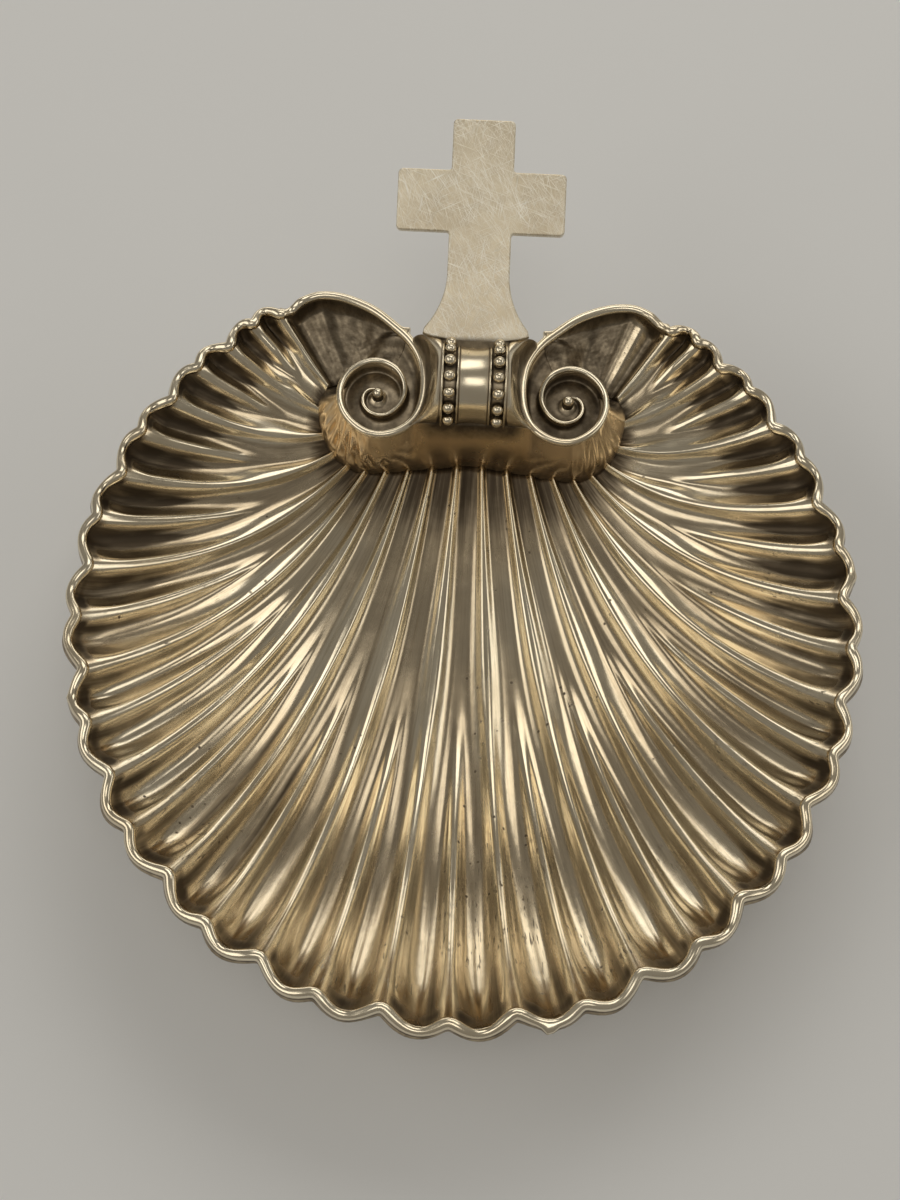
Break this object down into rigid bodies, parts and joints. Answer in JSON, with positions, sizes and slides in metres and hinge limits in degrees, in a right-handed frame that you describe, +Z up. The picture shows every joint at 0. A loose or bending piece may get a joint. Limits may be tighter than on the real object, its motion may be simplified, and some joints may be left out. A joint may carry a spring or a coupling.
{
  "type": "baptismal shell",
  "caption": "Fluted scallop dish for pouring baptismal water, with a lobed rolled rim, scrolled hinge, beaded spool, flat cross handle and small ball feet.",
  "frame": {"origin": "on the floor under the feet, in the middle of the whole part's length and width", "axes": "+X across the shell to the right, +Y from the front lip to the cross handle, +Z up out of the bowl"},
  "size_m": [0.1178, 0.1381, 0.0493],
  "materials": {
    "bowl_silver": "polished, tarnished in the flutes",
    "rim_silver": "polished",
    "scroll_silver": "darkened, polished on the ridges",
    "spool_silver": "polished",
    "pearl_silver": "polished",
    "gilt": "worn warm sheen",
    "back_silver": "dull, as hammered",
    "cross_silver": "satin with fine scratches",
    "foot_silver": "polished, worn under the ball"
  },
  "bodies": {
    "root": {"shell_bowl": "bowl_silver", "rim_roll": "rim_silver", "left_scroll": "scroll_silver", "right_scroll": "scroll_silver", "left_eye": "scroll_silver", "right_eye": "scroll_silver", "spool": "spool_silver", "left_collar": "spool_silver", "right_collar": "spool_silver", "left_pearls": "pearl_silver", "right_pearls": "pearl_silver", "apron": "gilt", "umbo_plate": "back_silver", "cross_handle": "cross_silver", "front_foot": "foot_silver", "left_foot": "foot_silver", "right_foot": "foot_silver"}
  },
  "joints": []
}
